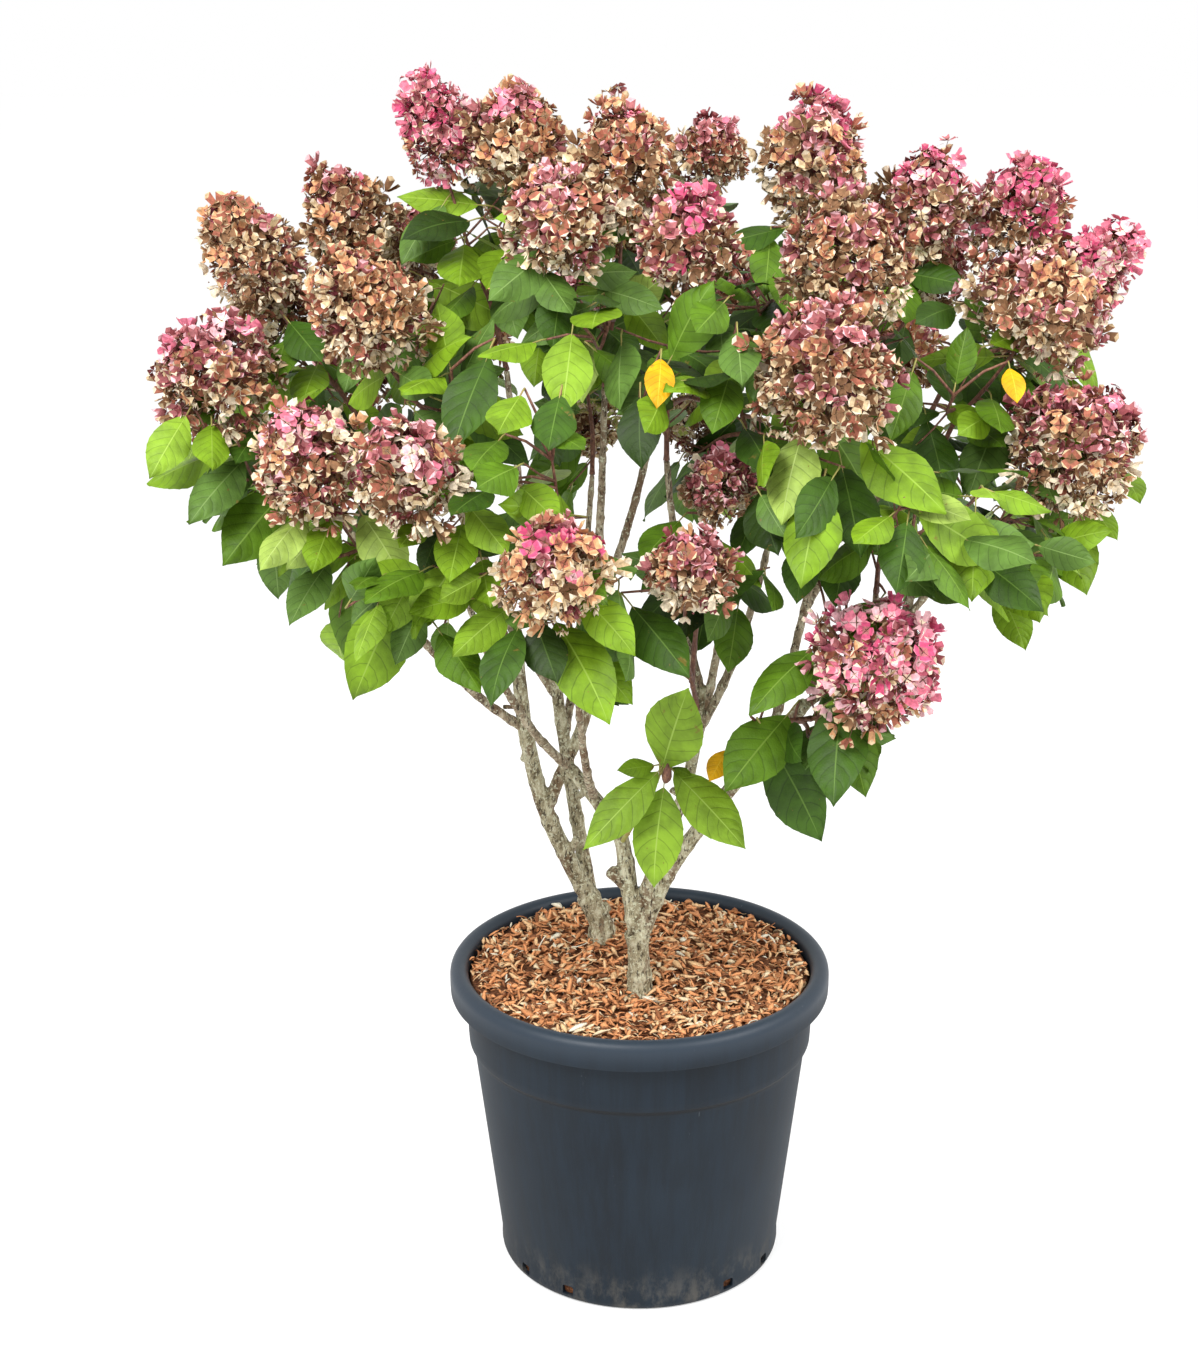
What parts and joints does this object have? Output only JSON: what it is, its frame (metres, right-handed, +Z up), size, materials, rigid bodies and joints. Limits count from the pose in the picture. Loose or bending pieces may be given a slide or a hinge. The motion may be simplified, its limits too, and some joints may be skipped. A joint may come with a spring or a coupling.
{
  "type": "potted panicle hydrangea shrub",
  "caption": "Many-stemmed hydrangea shrub with ovate leaves and ageing cone-shaped flower heads, standing in a dark nursery pot with a rolled lip and bark mulch.",
  "frame": {"origin": "centre of the pot's flat underside, on the floor", "axes": "+Z up along the pot's axis, -Y towards the side that the picture shows, +X to its right"},
  "size_m": [1.1329, 0.9091, 1.4681],
  "materials": {
    "pot_plastic": "matt",
    "bark_mulch": "rough",
    "grey_bark": "rough",
    "leaves_and_panicles": "matt"
  },
  "bodies": {
    "root": {"centre_bough": "grey_bark", "centre_mass": "leaves_and_panicles", "crest_bough": "grey_bark", "crest_left_bough": "grey_bark", "crest_left_mass": "leaves_and_panicles", "crest_mass": "leaves_and_panicles", "crest_rear_bough": "grey_bark", "crest_rear_mass": "leaves_and_panicles", "crest_right_bough": "grey_bark", "crest_right_mass": "leaves_and_panicles", "front_left_limb": "grey_bark", "front_low_bough": "grey_bark", "front_low_mass": "leaves_and_panicles", "front_middle_limb": "grey_bark", "front_middle_mass": "leaves_and_panicles", "front_right_limb": "grey_bark", "front_sprig_mass": "leaves_and_panicles", "front_trunk": "grey_bark", "left_bough": "grey_bark", "left_crest_bough": "grey_bark", "left_crest_mass": "leaves_and_panicles", "left_front_bough": "grey_bark", "left_front_mass": "leaves_and_panicles", "left_high_bough": "grey_bark", "left_high_mass": "leaves_and_panicles", "left_inner_bough": "grey_bark", "left_inner_mass": "leaves_and_panicles", "left_low_bough": "grey_bark", "left_low_mass": "leaves_and_panicles", "left_tip_mass": "leaves_and_panicles", "pot": "pot_plastic", "rear_bough": "grey_bark", "rear_cross_limb": "grey_bark", "rear_left_bough": "grey_bark", "rear_left_limb": "grey_bark", "rear_left_mass": "leaves_and_panicles", "rear_mass": "leaves_and_panicles", "rear_middle_limb": "grey_bark", "rear_right_bough": "grey_bark", "rear_right_mass": "leaves_and_panicles", "rear_trunk": "grey_bark", "right_bough": "grey_bark", "right_front_bough": "grey_bark", "right_front_mass": "leaves_and_panicles", "right_high_bough": "grey_bark", "right_high_mass": "leaves_and_panicles", "right_inner_bough": "grey_bark", "right_inner_mass": "leaves_and_panicles", "right_low_bough": "grey_bark", "right_low_mass": "leaves_and_panicles", "right_middle_bough": "grey_bark", "right_middle_mass": "leaves_and_panicles", "right_rear_bough": "grey_bark", "right_rear_mass": "leaves_and_panicles", "right_sprig_mass": "leaves_and_panicles", "right_tip_mass": "leaves_and_panicles", "root_ball": "bark_mulch"}
  },
  "joints": []
}
